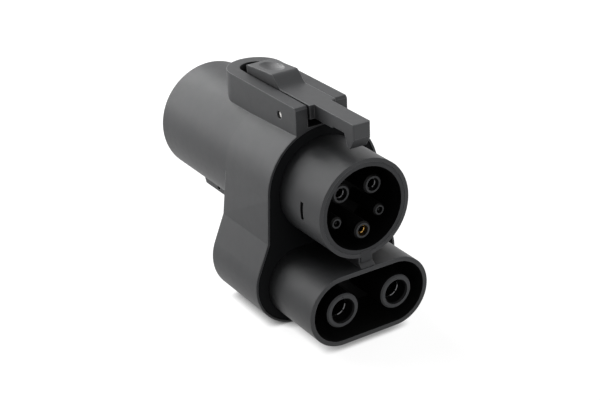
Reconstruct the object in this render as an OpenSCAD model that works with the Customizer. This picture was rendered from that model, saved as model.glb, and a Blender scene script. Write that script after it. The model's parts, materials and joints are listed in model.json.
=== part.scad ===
// Electric vehicle charging adapter.
// A two-nose combination coupling faces the car (-Y), a round inlet faces the charging cable (+Y),
// and a sprung thumb lever on top hooks over the catch of the car's inlet.
// Drawn about the axis of the round AC nose: X to the right seen from the front, Y towards the cable,
// Z up, with the rim of the AC nose at Y = 0. stand() then moves it onto the middle of its footprint.

/* [Main lengths] */
// Distance from the rim of the AC nose to the front of the block
nose_len = 30; // [26:0.5:36]
// Depth of the block behind the noses
block_depth = 38; // [34:0.5:46]
// Length of the round barrel behind the block
barrel_len = 60; // [52:0.5:70]
// Outer radius of the barrel
barrel_r = 26.5; // [25.5:0.1:27.2]
// Wall of the barrel
barrel_wall = 3.5; // [2.5:0.1:4]

/* [Block] */
// Radius of the block's rounded top at its front; it tapers to the barrel
shoulder_r = 27.9; // [27.6:0.1:29]
// Half width of the block at the crease between flank and foot
crease_x = 29.1; // [28.4:0.1:30]
// Depth of that crease below the AC axis
crease_drop = 20.3; // [19:0.1:22]
// Radius of the rounded foot at each side
foot_r = 20.4; // [20:0.1:21.2]
// Half distance between the centres of the two foot arcs
foot_cx = 15.6; // [15:0.1:16.4]
// Depth of the foot arcs' centres below the AC axis
foot_drop = 40.7; // [39.8:0.1:41.8]
// Wall of the block behind its front rebate
block_wall = 3.5; // [2.6:0.1:4]
// Width of the block's rim round the face seal
rim_w = 1; // [0.8:0.1:1.4]

/* [AC nose] */
// Outer radius of the AC sleeve
ac_r = 21.95; // [21.6:0.05:22.1]
// Wall of the AC sleeve
ac_wall = 1.8; // [1.5:0.1:2.1]
// Wall of the contact carrier's ring inside the sleeve
ac_ring_w = 1.7; // [1.4:0.1:2]
// Depth of the AC cavity
ac_depth = 25; // [23:0.5:26]
// How far the carrier's ring stands proud of the sleeve
ac_proud = 0.3; // [0:0.1:0.5]

/* [AC contacts] */
// Half distance between the two line contacts
line_x = 7.85; // [7.6:0.05:8.1]
// Height of the line contacts above the AC axis
line_z = 6.8; // [6.6:0.1:7.2]
// Half distance between the two signal contacts
signal_x = 10.65; // [10.4:0.05:10.9]
// Depth of the signal contacts below the AC axis
signal_drop = 5.6; // [5.3:0.1:5.9]
// Depth of the earth contact below the AC axis
earth_drop = 10.6; // [10.4:0.1:11]
// Radius of a line tower
line_tower_r = 4.35; // [4.2:0.05:4.6]
// Radius of a signal tower
signal_tower_r = 2.8; // [2.6:0.05:3]
// Radius of the earth tower
earth_tower_r = 4; // [3.8:0.05:4.2]
// Setback of the line towers behind the rim
line_back = 5.1; // [3:0.1:6]
// Setback of the signal towers behind the rim
signal_back = 4.8; // [3:0.1:6]
// Setback of the earth tower behind the rim
earth_back = 1.7; // [0.5:0.1:2.5]
// Radius of the hole in a line socket
line_bore_r = 1.85; // [1.8:0.05:1.95]
// Radius of the hole in a signal socket
signal_bore_r = 0.8; // [0.75:0.05:0.85]
// Radius of the hole in the earth socket
earth_bore_r = 1.45; // [1.4:0.05:1.5]
// Wall of the line and earth sockets
ac_socket_wall = 0.9; // [0.6:0.05:0.95]
// Wall of the signal sockets
signal_socket_wall = 0.55; // [0.4:0.05:0.7]
// Chamfer at the end of each tower
tower_chamfer = 0.7; // [0.3:0.1:0.8]

/* [DC nose] */
// Depth of the DC contacts below the AC axis
dc_drop = 42.2; // [41.6:0.1:43.4]
// Half distance between the two DC contacts
dc_x = 13.5; // [13.2:0.1:13.8]
// Outer radius of the DC shroud's rounded ends
dc_r = 16.1; // [15.8:0.1:16.8]
// Wall of the DC shroud
dc_wall = 2; // [1.8:0.1:2.4]
// How far the DC rim stands ahead of the AC rim
dc_ahead = 2.4; // [0:0.1:3]
// Depth of the DC cavity behind its rim
dc_depth = 25; // [22:0.5:27]
// Radius of a DC contact tower
dc_tower_r = 7.75; // [7.5:0.05:8.1]
// Radius of the hole in a DC socket
dc_bore_r = 4.05; // [4:0.05:4.15]
// Wall of a DC socket
dc_socket_wall = 1.1; // [0.9:0.05:1.2]
// Width of the rib between the two noses
rib_w = 6.8; // [5.6:0.1:8]
// Width of the carrier's key, which shows in the rib
key_w = 4.8; // [3.6:0.1:5]

/* [Latch housing] */
// Half width of the latch housing
latch_half = 12.7; // [12.2:0.1:13.6]
// Height of the latch housing's top above the AC axis
latch_top = 37; // [36.4:0.1:38]
// Distance from the front of the block to the centre of the rounded rear end
latch_run = 53.5; // [50:0.5:58]
// Wall on each side of the lever
latch_wall = 5.8; // [5:0.1:6.2]
// Height of the pocket's floor above the AC axis
pocket_floor = 27.6; // [27.2:0.1:27.9]
// Chamfer along the top of the latch housing's front
latch_chamfer = 1; // [0.5:0.1:1.5]

/* [Lever] */
// Distance of the hinge behind the front of the block
hinge_back = 13; // [12:0.5:15]
// Height of the hinge above the AC axis
hinge_z = 30.4; // [30.2:0.1:31]
// Radius of the hinge pin
pin_r = 1.2; // [1:0.05:1.4]
// Height of the lever's arm above the AC axis
arm_top = 37.4; // [37.2:0.1:38.2]
// Thickness of the lever's arm
arm_t = 6.2; // [5.4:0.1:6.4]
// Width of the lever's nose outside the housing
tip_w = 8.2; // [7:0.1:9]
// Setback of the lever's tip behind the AC rim
tip_back = 0.6; // [0:0.1:3]
// Reach of the hook below the arm's top
hook_drop = 11.3; // [10.5:0.1:12]
// Height of the thumb pad above the arm's top
pad_rise = 4.8; // [4:0.1:6.5]
// Length of the thumb pad
pad_len = 27; // [24:0.5:29]

/* [Rear inlet] */
// Wall at each side of the inlet's cavity
inlet_side_wall = 3.7; // [3.1:0.1:4.9]
// Wall above and below the inlet's cavity
inlet_end_wall = 7.4; // [6.9:0.1:8.4]
// Corner radius of the inlet's cavity
inlet_corner = 11; // [9:0.5:13]
// Depth of the inlet's cavity
inlet_depth = 30; // [26:0.5:34]
// Thickness of the inlet's floor
inlet_floor = 10; // [8:0.5:11]
// Half distance between the two rear power pins
power_x = 10; // [9.5:0.1:10.8]
// Height of the rear power pins above the barrel's axis
power_z = 4; // [3:0.1:5]
// Radius of a rear power pin
power_r = 4; // [3.6:0.05:4.2]
// Depth of the rear earth pin below the barrel's axis
rear_earth_drop = 8; // [7.4:0.1:8.6]
// Radius of the rear earth pin
rear_earth_r = 2.6; // [2.2:0.05:2.8]
// Half distance between the two rear signal pins
rear_signal_x = 9.5; // [9:0.1:10]
// Depth of the rear signal pins below the barrel's axis
rear_signal_drop = 9; // [8.6:0.1:9.4]
// Radius of a rear signal pin
rear_signal_r = 1.2; // [1:0.05:1.4]
// Setback of the rear pins' tips from the inlet's mouth
pin_tip_back = 8; // [6:0.5:12]
// Shoulder of a rear pin on the collar of the inlet's floor
pin_shoulder = 0.3; // [0.2:0.05:0.4]

/* [Lug] */
// Half width of the lug under the barrel
lug_half = 9; // [7:0.5:11]
// Depth of the lug's underside below the barrel's axis
lug_drop = 31; // [30:0.5:33]
// Distance from the lug's rear end to the end of the barrel
lug_back = 4.5; // [3:0.5:8]
// Radius of the cord hole through the lug
lug_hole_r = 1.3; // [1:0.1:1.5]

/* [Inner parts] */
// Thickness of a busbar
bar_t = 3; // [2:0.1:3.5]
// Width of a busbar
bar_w = 12; // [10:0.5:13]
// Thickness of the contact retainer
retainer_t = 3; // [2:0.1:4]
// Thickness of the circuit board
board_t = 1.6; // [1:0.1:2]
// Thickness of the face seal
seal_t = 2; // [1.5:0.1:3]
// Thickness of the nose moulding's base plate
plate_t = 3; // [2.5:0.1:4]
// Thickness of the flat gasket behind the base plate
gasket_t = 1; // [0.8:0.1:1.4]

/* [Clearances] */
// Gap between parts that are assembled and stay still
fit = 0.1; // [0.05:0.01:0.15]
// Gap beside the lever in its pocket
lever_gap = 0.5; // [0.4:0.05:0.7]
// Running gap of the lever round its pin
pin_gap = 0.05; // [0.03:0.01:0.1]
// Setback of the face seal behind the block's rim
seal_back = 0.3; // [0.2:0.1:0.6]

/* [Hidden] */
$fn = 96;
eps = 0.01;

// Stations along the depth, from front to rear
block_back = nose_len + block_depth;
body_back = block_back + barrel_len;
seal_y = nose_len + seal_back;
plate_y = seal_y + seal_t;
plate_back = plate_y + plate_t;
ledge_y = plate_back + gasket_t;
flange_t = 2.6;
flange_back = plate_back + flange_t;
retainer_y = flange_back + fit;
retainer_back = retainer_y + retainer_t;
bore_r = barrel_r - barrel_wall;
inlet_r = bore_r - fit;
inlet_half_w = inlet_r - inlet_side_wall;
inlet_half_h = inlet_r - inlet_end_wall;
inlet_front = body_back - inlet_depth - inlet_floor;
cavity_back = block_back - block_wall;
foot_bottom = foot_drop + foot_r;

// Moves the drawing frame onto the middle of the footprint
module stand() {
  translate([0, (dc_ahead - body_back) / 2, foot_bottom]) children();
}

// Extrudes a front view from depth y0 backwards
module section(y0, len) {
  translate([0, y0, 0]) rotate([-90, 0, 0]) mirror([0, 1, 0]) linear_extrude(len) children();
}

// Extrudes a side view, drawn as depth and height, across the middle
module across(width) {
  rotate([90, 0, 90]) linear_extrude(width, center = true) children();
}

// Turns an upright part so that its height runs backwards from depth y0
module backwards(x, y0, z) {
  translate([x, y0, z]) rotate([-90, 0, 0]) children();
}

// A round rod from depth y0 backwards
module rod(x, y0, z, r, len) {
  backwards(x, y0, z) cylinder(r = r, h = len);
}

// Front view of a slot with round ends
module slot2d(half, r) {
  for (s = [-1, 1]) translate([s * half, 0]) circle(r);
  square([2 * half, 2 * r], center = true);
}

// Front view of a rectangle with round corners
module round_rect(half_w, half_h, r) {
  for (sx = [-1, 1], sy = [-1, 1]) translate([sx * (half_w - r), sy * (half_h - r)]) circle(r);
  square([2 * half_w, 2 * (half_h - r)], center = true);
  square([2 * (half_w - r), 2 * half_h], center = true);
}

// Point where the slanting flank meets the foot's arc, on the right
function flank_touch() =
  let (dx = foot_cx - crease_x, dz = crease_drop - foot_drop, d = norm([dx, dz]))
  let (a = atan2(dz, dx) + asin(foot_r / d), t = sqrt(d * d - foot_r * foot_r))
  [crease_x + t * cos(a), -crease_drop + t * sin(a)];

// Front view of the block: round shoulder, upright flank, crease and rounded foot
module block2d() {
  touch = flank_touch();
  circle(shoulder_r);
  translate([0, -foot_drop]) slot2d(foot_cx, foot_r);
  polygon([
    [-shoulder_r, 0], [shoulder_r, 0], [crease_x, -crease_drop], touch,
    [-touch.x, touch.y], [-crease_x, -crease_drop]
  ]);
}

// The block: shoulder tapering to the barrel, flanks and foot
module block() {
  touch = flank_touch();
  backwards(0, nose_len, 0) cylinder(r1 = shoulder_r, r2 = barrel_r, h = block_depth);
  polyhedron(
    [
      for (e = [[nose_len, shoulder_r], [block_back, barrel_r]])
        for (q = [[-e[1], 0], [e[1], 0], [crease_x, -crease_drop], [-crease_x, -crease_drop]]) [q.x, e[0], q.y]
    ],
    [[0, 1, 2, 3], [5, 4, 7, 6], [0, 4, 5, 1], [2, 6, 7, 3], [1, 5, 6], [1, 6, 2], [0, 3, 7], [0, 7, 4]]
  );
  section(nose_len, block_depth) {
    translate([0, -foot_drop]) slot2d(foot_cx, foot_r);
    polygon([[crease_x, -crease_drop], touch, [-touch.x, touch.y], [-crease_x, -crease_drop]]);
  }
}

// The block's front view, smaller by an even margin
module block_inset2d(margin) {
  offset(delta = -margin) block2d();
}

// Latch pocket
pocket_half = latch_half - latch_wall;
latch_c = nose_len + latch_run;
hinge_y = nose_len + hinge_back;
boss_r = 3;
boss_relief = 0.6;
pin_sink = 0.6;
pin_eye_r = pin_r + 0.5;
pin_eye_depth = 0.9;

// Plan of the latch housing or of its pocket: straight sides and a round rear end
module latch_plan(half, front) {
  translate([-half, front]) square([2 * half, latch_c - front]);
  translate([0, latch_c]) circle(half);
}

// A rod across the part, centred on X = 0
module cross_rod(y, z, r, len) {
  translate([0, y, z]) rotate([0, 90, 0]) cylinder(r = r, h = len, center = true);
}

// Lug under the barrel
lug_end = body_back - lug_back;
lug_slant = 2;
lug_hole_in = 14.5;
module lug() {
  across(2 * lug_half) polygon([
    [cavity_back, 0], [cavity_back, -lug_drop], [lug_end - lug_slant, -lug_drop],
    [lug_end, -lug_drop + 2 * lug_slant], [lug_end, 0]
  ]);
}

// Screws that hold the rear inlet
rear_screw_z = bore_r - 3.6;
rear_boss_r = 4;
rear_boss_len = 8;
screw_r = 1.5;
pilot_r = 1.25;
head_r = 2.6;
head_t = 1.8;
barrel_chamfer = 0.5;

module rear_housing() {
  color("#4d4e50") stand() {
    difference() {
      union() {
        block();
        rod(0, cavity_back, 0, barrel_r, body_back - barrel_chamfer - cavity_back);
        backwards(0, body_back - barrel_chamfer - eps, 0)
          cylinder(r1 = barrel_r, r2 = barrel_r - barrel_chamfer, h = barrel_chamfer + eps);
        linear_extrude(latch_top) latch_plan(latch_half, nose_len);
        lug();
      }
      section(nose_len - eps, ledge_y - nose_len + eps) block_inset2d(rim_w);
      section(nose_len, cavity_back - nose_len) block_inset2d(block_wall);
      rod(0, cavity_back - eps, 0, bore_r, body_back - cavity_back + 1);
      translate([0, 0, pocket_floor]) linear_extrude(latch_top) latch_plan(pocket_half, nose_len - 1);
      across(3 * latch_half) polygon([
        [nose_len - 1, latch_top - latch_chamfer - 1], [nose_len + latch_chamfer + 1, latch_top + 1],
        [nose_len - 1, latch_top + 1]
      ]);
      cross_rod(hinge_y, hinge_z, boss_r + boss_relief, 2 * pocket_half);
      cross_rod(hinge_y, hinge_z, pin_r + fit / 2, 3 * latch_half);
      for (s = [-1, 1]) translate([s * latch_half, 0, 0])
        cross_rod(hinge_y, hinge_z, pin_eye_r, 2 * pin_eye_depth);
      cross_rod(lug_end - lug_hole_in, -(barrel_r + lug_drop) / 2, lug_hole_r, 3 * lug_half);
    }
    for (s = [-1, 1]) difference() {
      intersection() {
        rod(0, inlet_front - rear_boss_len, s * rear_screw_z, rear_boss_r, rear_boss_len);
        rod(0, inlet_front - rear_boss_len, 0, bore_r + 0.4, rear_boss_len);
      }
      rod(0, inlet_front - rear_boss_len - 1, s * rear_screw_z, pilot_r, rear_boss_len + 2);
    }
  }
}

// Nose moulding: base plate, AC sleeve, DC shroud and the rib between them
sleeve_in = ac_r - ac_wall;
shroud_in = dc_r - dc_wall;
key_len = 3;
key_drop = 2.4;
rib_back = 0.3;
rib_sink = 0.4;
window_y = 12.4;
window_len = 2;
window_h = 8.2;
ear_x = 21.5;
ear_drop = 23.5;
ear_r = 3;

module nose_moulding() {
  color("#47484a") stand() difference() {
    union() {
      section(plate_y, plate_t) block_inset2d(rim_w + fit);
      rod(0, 0, 0, ac_r, plate_y + eps);
      section(-dc_ahead, dc_ahead + plate_y + eps) translate([0, -dc_drop]) slot2d(dc_x, dc_r);
      across(rib_w) polygon([
        [plate_y + eps, -sleeve_in - rib_sink], [rib_back, -sleeve_in - rib_sink],
        [rib_back, -ac_r - key_drop - fit], [rib_back - dc_ahead, -dc_drop + dc_r - rib_sink],
        [plate_y + eps, -dc_drop + dc_r - rib_sink]
      ]);
      for (s = [-1, 1]) rod(s * ear_x, plate_back - eps, -ear_drop, ear_r, retainer_y - plate_back);
    }
    rod(0, -1, 0, sleeve_in, plate_back + 2);
    section(-dc_ahead - 1, plate_back + dc_ahead + 2) translate([0, -dc_drop]) slot2d(dc_x, shroud_in);
    translate([-key_w / 2 - fit, -1, -ac_r - key_drop - fit])
      cube([key_w + 2 * fit, key_len + 1 + fit, ac_wall + key_drop + 1]);
    translate([-2 * ac_r, window_y, -window_h / 2]) cube([4 * ac_r, window_len, window_h]);
    for (s = [-1, 1]) rod(s * ear_x, plate_y + 1, -ear_drop, pilot_r, 2 * plate_t + flange_t);
  }
}

module face_seal() {
  color("#17181a") stand() section(seal_y, seal_t) difference() {
    block_inset2d(rim_w + fit);
    circle(ac_r + fit);
    translate([0, -dc_drop]) slot2d(dc_x, dc_r + fit);
    translate([-rib_w / 2 - fit, -dc_drop]) square([rib_w + 2 * fit, dc_drop]);
  }
}

module front_gasket() {
  color("#202123") stand() section(plate_back, gasket_t) difference() {
    block_inset2d(rim_w + 2 * fit);
    block_inset2d(block_wall - fit);
  }
}

// Contacts of the AC nose: [x, z, tower radius, tower setback, bore radius, socket radius]
ac_seat = 1.6;
collar_w = 0.9;
collar_t = 1.2;
tail_len = 3.5;
line_socket_r = line_bore_r + ac_socket_wall;
earth_socket_r = earth_bore_r + ac_socket_wall;
signal_socket_r = signal_bore_r + signal_socket_wall;
ac_contacts = [
  [-line_x, line_z, line_tower_r, line_back, line_bore_r, line_socket_r],
  [line_x, line_z, line_tower_r, line_back, line_bore_r, line_socket_r],
  [0, -earth_drop, earth_tower_r, earth_back, earth_bore_r, earth_socket_r],
  [-signal_x, -signal_drop, signal_tower_r, signal_back, signal_bore_r, signal_socket_r],
  [signal_x, -signal_drop, signal_tower_r, signal_back, signal_bore_r, signal_socket_r]
];
ac_bore_depth = 20;
groove_w = 0.4;

// Tower with a chamfered end, from depth y0 into the floor at depth floor_y
module tower(x, y0, z, r, floor_y) {
  backwards(x, y0, z) cylinder(r1 = r - tower_chamfer, r2 = r, h = tower_chamfer);
  rod(x, y0 + tower_chamfer, z, r, floor_y - y0 - tower_chamfer + eps);
}

module ac_contact_carrier() {
  ring_r = sleeve_in - fit;
  color("#3d3e40") stand() difference() {
    union() {
      difference() {
        rod(0, groove_w - ac_proud, 0, ring_r, flange_back - groove_w + ac_proud);
        backwards(0, -ac_proud, 0) cylinder(r1 = ring_r - groove_w, r2 = ring_r, h = groove_w);
        rod(0, -ac_proud - 1, 0, ring_r - ac_ring_w, ac_depth + ac_proud + 1);
      }
      rod(0, plate_back + fit, 0, ac_r, flange_t - fit);
      for (c = ac_contacts) tower(c[0], c[3], c[1], c[2], ac_depth);
      translate([-key_w / 2, 0, -ac_r - key_drop]) cube([key_w, key_len, ac_wall + key_drop + 1]);
    }
    for (c = ac_contacts) {
      rod(c[0], c[3] - 1, c[1], c[5] + fit, flange_back);
      rod(c[0], flange_back - collar_t - fit, c[1], c[5] + collar_w + fit, collar_t + 1);
    }
  }
}

// One AC socket: sprung tube, collar held by the retainer, solder tail
module ac_socket(i, tint) {
  c = ac_contacts[i];
  r = c[5];
  front = c[3] + ac_seat;
  color(tint) stand() difference() {
    union() {
      rod(c[0], front, c[1], r, retainer_back + tail_len - front);
      rod(c[0], flange_back - collar_t, c[1], r + collar_w, collar_t);
    }
    rod(c[0], front - 1, c[1], c[4], ac_bore_depth + 1);
  }
}
module ac_line_socket_left() { ac_socket(0, "#c9cbce"); }
module ac_line_socket_right() { ac_socket(1, "#c9cbce"); }
module earth_socket() { ac_socket(2, "#d9b368"); }
module pilot_socket() { ac_socket(3, "#c9cbce"); }
module proximity_socket() { ac_socket(4, "#c9cbce"); }

// DC contacts
dc_seat = 5;
dc_bore_depth = 24;
dc_socket_r = dc_bore_r + dc_socket_wall;
dc_mouth = 0.5;
dc_collar_t = 2;
dc_tail_r = 3.5;
bar_y = retainer_back + 8;
dc_tail_back = bar_y + bar_t + 1;

module dc_contact_carrier() {
  floor_y = dc_depth - dc_ahead;
  flange_y = plate_back + fit;
  color("#3d3e40") stand() difference() {
    union() {
      section(floor_y, flange_y + fit - floor_y) translate([0, -dc_drop]) slot2d(dc_x, shroud_in - fit);
      section(flange_y, flange_back - flange_y) intersection() {
        translate([0, -dc_drop]) slot2d(dc_x, dc_r - fit);
        block_inset2d(block_wall + fit);
      }
      for (s = [-1, 1]) tower(s * dc_x, -dc_ahead, -dc_drop, dc_tower_r, floor_y);
    }
    for (s = [-1, 1]) {
      rod(s * dc_x, -dc_ahead - 1, -dc_drop, dc_socket_r + fit, flange_back + 2);
      backwards(s * dc_x, -dc_ahead - eps, -dc_drop)
        cylinder(r1 = dc_socket_r + fit + dc_mouth, r2 = dc_socket_r + fit, h = 2 * dc_mouth);
      rod(s * dc_x, flange_back - dc_collar_t - fit, -dc_drop, dc_socket_r + collar_w + fit, dc_collar_t + 1);
    }
  }
}

module dc_socket(s) {
  front = dc_seat - dc_ahead;
  color("#c9cbce") stand() difference() {
    union() {
      rod(s * dc_x, front, -dc_drop, dc_socket_r, flange_back - front);
      rod(s * dc_x, flange_back - dc_collar_t, -dc_drop, dc_socket_r + collar_w, dc_collar_t);
      rod(s * dc_x, front, -dc_drop, dc_tail_r, dc_tail_back - front);
    }
    rod(s * dc_x, front - 1, -dc_drop, dc_bore_r, dc_bore_depth + 1);
  }
}
module dc_socket_positive() { dc_socket(-1); }
module dc_socket_negative() { dc_socket(1); }

// Plate that keeps the contacts in their carriers
retainer_in = 3;
bridge_half = 8;
module contact_retainer() {
  color("#2b2c2e") stand() section(retainer_y, retainer_t) difference() {
    union() {
      circle(ac_r - retainer_in);
      translate([0, -dc_drop]) slot2d(dc_x, dc_r - retainer_in);
      translate([-bridge_half, -dc_drop]) square([2 * bridge_half, dc_drop]);
      translate([-ear_x, -ear_drop - ear_r]) square([2 * ear_x, 2 * ear_r]);
      for (s = [-1, 1]) translate([s * ear_x, -ear_drop]) circle(ear_r);
    }
    for (c = ac_contacts) translate([c[0], c[1]]) circle(c[5] + fit);
    for (s = [-1, 1]) {
      translate([s * dc_x, -dc_drop]) circle(dc_tail_r + fit);
      translate([s * ear_x, -ear_drop]) circle(screw_r);
    }
  }
}

module retainer_screws() {
  color("#b9bbbe") stand() for (s = [-1, 1]) {
    rod(s * ear_x, retainer_back + fit / 2, -ear_drop, head_r, head_t);
    rod(s * ear_x, plate_back - 1, -ear_drop, pilot_r - fit / 2, retainer_back + 1 - plate_back + fit);
  }
}

// Latch lever: hook, arm, S-bend and thumb pad, as one side view cut to a plan
pad_start = nose_len + 29;
bend_len = 7.5;
pad_end = pad_start + pad_len - 4;
pad_top = arm_top + pad_rise;
pad_fall = 1.5;
tip_round = 0.7;
arm_under = arm_top - arm_t;
hook_flat = 1.3;
hook_slant = 3.2;
hook_face = 6.4;
hook_len = 6.8;
notch_rise = 0.8;
notch_end = 16;
wide_start = nose_len - 1;
lever_half = pocket_half - lever_gap;
pad_corner = 3;
lever_swing = 7;
rear_under = pocket_floor + (pad_end - hinge_y) * sin(lever_swing) + 0.5;
spring_y = pad_start + 9;
spring_seat_r = 3.2;
spring_seat_top = arm_top - 0.2;

// Easing from 0 to 1 with level ends
function ease(t) = (1 - cos(180 * t)) / 2;

module lever_side2d() {
  bend = 16;
  polygon(concat(
    [[tip_back, arm_top - hook_face], [tip_back, arm_top]],
    [for (i = [0:bend]) [pad_start - bend_len * (1 - i / bend), arm_top + pad_rise * ease(i / bend)]],
    [
      [pad_end - 3, pad_top - pad_fall], [pad_end - 1, pad_top - pad_fall - 0.8],
      [pad_end, pad_top - pad_fall - 2.6], [pad_end, rear_under], [hinge_y + boss_r, arm_under],
      [notch_end, arm_under], [notch_end - notch_rise, arm_under + notch_rise],
      [tip_back + hook_len, arm_under + notch_rise],
      [tip_back + hook_slant + hook_flat, arm_top - hook_drop], [tip_back + hook_slant, arm_top - hook_drop]
    ]
  ));
}

module lever_plan2d() {
  translate([-tip_w / 2, tip_back + tip_round]) square([tip_w, wide_start - tip_back - tip_round + 1]);
  for (s = [-1, 1]) translate([s * (tip_w / 2 - tip_round), tip_back + tip_round]) circle(tip_round);
  translate([tip_round - tip_w / 2, tip_back]) square([tip_w - 2 * tip_round, tip_round + 1]);
  translate([-lever_half, wide_start]) square([2 * lever_half, pad_end - pad_corner - wide_start]);
  translate([-lever_half + pad_corner, wide_start]) square([2 * (lever_half - pad_corner), pad_end - wide_start + 1]);
  for (s = [-1, 1]) translate([s * (lever_half - pad_corner), pad_end - pad_corner]) circle(pad_corner);
}

dimple_deep = 1.6;
dimple_half_w = 4.6;
dimple_half_len = 8;
function arc_r(half, deep) = (half * half + deep * deep) / (2 * deep);

module latch_lever() {
  cross = arc_r(dimple_half_w, dimple_deep);
  along = arc_r(dimple_half_len, dimple_deep);
  color("#505153") stand() difference() {
    union() {
      intersection() {
        across(2 * latch_half) lever_side2d();
        linear_extrude(2 * pad_top) lever_plan2d();
      }
      cross_rod(hinge_y, hinge_z, boss_r, 2 * lever_half);
    }
    translate([0, (pad_start + pad_end) / 2, pad_top - dimple_deep - pad_fall / 2 + along])
      rotate([0, 90, 0]) rotate_extrude() translate([along - cross, 0]) circle(cross);
    cross_rod(hinge_y, hinge_z, pin_r + pin_gap, 3 * lever_half);
    translate([0, spring_y, 0]) cylinder(r = spring_seat_r, h = spring_seat_top);
  }
}

module hinge_pin() {
  color("#d8d9da") stand() cross_rod(hinge_y, hinge_z, pin_r, 2 * (latch_half - pin_sink));
}

// Compression spring under the thumb pad, swept along its helix
wire_r = 0.4;
coil_r = 2.2;
coil_turns = 5;
coil_steps = 18;
wire_sides = 8;
function coil_point(t, low, high) =
  [coil_r * cos(360 * t), coil_r * sin(360 * t), low + (high - low) * t / coil_turns];

module latch_spring() {
  low = pocket_floor + wire_r + 0.02;
  high = spring_seat_top - wire_r - 0.02;
  n = coil_turns * coil_steps;
  rise = (high - low) / (2 * PI * coil_r * coil_turns);
  lean = atan(rise);
  rings = [
    for (i = [0:n]) let (t = i / coil_steps, p = coil_point(t, low, high), a = 360 * t)
      for (k = [0:wire_sides - 1]) let (b = 360 * k / wire_sides, u = wire_r * cos(b), v = wire_r * sin(b))
        p + [
          u * cos(a) + v * sin(lean) * sin(a), u * sin(a) - v * sin(lean) * cos(a), v * cos(lean)
        ]
  ];
  side = [
    for (i = [0:n - 1]) for (k = [0:wire_sides - 1])
      let (m = (k + 1) % wire_sides, a = i * wire_sides, b = a + wire_sides)
        [a + k, a + m, b + m, b + k]
  ];
  first = [for (k = [wire_sides - 1:-1:0]) k];
  last = [for (k = [0:wire_sides - 1]) n * wire_sides + k];
  color("#c4c6c8") stand() translate([0, spring_y, 0]) polyhedron(rings, concat([first], side, [last]));
}

// Rear inlet: round plug with a rounded cavity and five pins
inlet_mouth = body_back - 0.4;
floor_back = inlet_front + inlet_floor;
ring_y = body_back - 7;
ring_r = 0.95;
ring_groove = 2;
collar_h = 3;
collar_gap = 1.4;
pin_stub = 1.2;
board_under = 1.2;
board_z = rear_screw_z - rear_boss_r - board_under - board_t;
shelf_half = 7;
shelf_len = 7;
shelf_under = 2;
shelf_over = 1;
rear_pins = [
  [-power_x, power_z, power_r], [power_x, power_z, power_r], [0, -rear_earth_drop, rear_earth_r],
  [-rear_signal_x, -rear_signal_drop, rear_signal_r], [rear_signal_x, -rear_signal_drop, rear_signal_r]
];

module rear_inlet() {
  color("#2a2b2d") stand() {
    difference() {
      union() {
        rod(0, inlet_front, 0, inlet_r, inlet_mouth - inlet_front);
        translate([-shelf_half, inlet_front - shelf_len, board_z - shelf_under])
          cube([2 * shelf_half, shelf_len + eps, shelf_under + board_t + shelf_over]);
      }
      difference() {
        section(floor_back, inlet_depth) round_rect(inlet_half_w, inlet_half_h, inlet_corner);
        for (p = rear_pins) rod(p[0], floor_back - 1, p[1], p[2] + collar_gap, collar_h + 1);
      }
      for (p = rear_pins) rod(p[0], inlet_front - 1, p[1], p[2] - pin_shoulder + fit, inlet_floor + collar_h + 2);
      for (s = [-1, 1]) {
        rod(0, inlet_front - 1, s * rear_screw_z, screw_r + fit, inlet_floor + 2);
        rod(0, floor_back, s * rear_screw_z, head_r + 2 * fit, inlet_depth + 1);
      }
      backwards(0, ring_y - 1.2, 0) difference() {
        cylinder(r = bore_r + 1, h = 2.4);
        translate([0, 0, -1]) cylinder(r = bore_r - ring_groove, h = 4.4);
      }
      translate([-shelf_half - 1, inlet_front - shelf_len - 1, board_z - fit / 2])
        cube([2 * shelf_half + 2, shelf_len + 1 - 0.5, board_t + fit]);
    }
  }
}

module rear_seal_ring() {
  color("#1b1c1e") stand() backwards(0, ring_y, 0)
    rotate_extrude() translate([bore_r - ring_r - 0.02, 0]) circle(ring_r);
}

module rear_screws() {
  color("#b9bbbe") stand() for (s = [-1, 1]) {
    rod(0, floor_back + fit / 2, s * rear_screw_z, head_r, head_t);
    rod(0, inlet_front - rear_boss_len + 1, s * rear_screw_z, pilot_r - fit / 2, inlet_floor + rear_boss_len);
  }
}

module rear_pin(i, tint) {
  p = rear_pins[i];
  tip = inlet_mouth - pin_tip_back;
  round_end = p[2] / 3;
  front = inlet_front - bar_t - pin_stub;
  seat = floor_back + collar_h + fit / 2;
  color(tint) stand() {
    rod(p[0], front, p[1], p[2] - pin_shoulder, seat + 1 - front);
    rod(p[0], seat, p[1], p[2], tip - round_end - seat);
    backwards(p[0], tip - round_end - eps, p[1]) cylinder(r1 = p[2], r2 = p[2] - round_end, h = round_end);
  }
}
module rear_power_pin_positive() { rear_pin(0, "#cfd1d3"); }
module rear_power_pin_negative() { rear_pin(1, "#cfd1d3"); }
module rear_earth_pin() { rear_pin(2, "#cfd1d3"); }
module rear_pilot_pin() { rear_pin(3, "#cfd1d3"); }
module rear_proximity_pin() { rear_pin(4, "#cfd1d3"); }

// Copper bar from a DC socket's tail up and back to a rear power pin
module busbar(s) {
  tab = bar_w / 2;
  back = inlet_front - fit;
  color("#b87b4f") stand() difference() {
    union() {
      translate([s * dc_x - tab, bar_y, -dc_drop - tab]) cube([bar_w, bar_t, dc_drop + tab + power_z + bar_t / 2]);
      translate([s * dc_x - tab, bar_y, power_z - bar_t / 2]) cube([bar_w, back - bar_y, bar_t]);
      translate([s * power_x - tab, back - bar_t, power_z - tab]) cube([bar_w, bar_t, bar_w]);
    }
    rod(s * dc_x, bar_y - 1, -dc_drop, dc_tail_r + fit, bar_t + 2);
    rod(s * power_x, back - bar_t - 2, power_z, power_r - pin_shoulder + fit, bar_t + 3);
  }
}
module busbar_positive() { busbar(-1); }
module busbar_negative() { busbar(1); }

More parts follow.
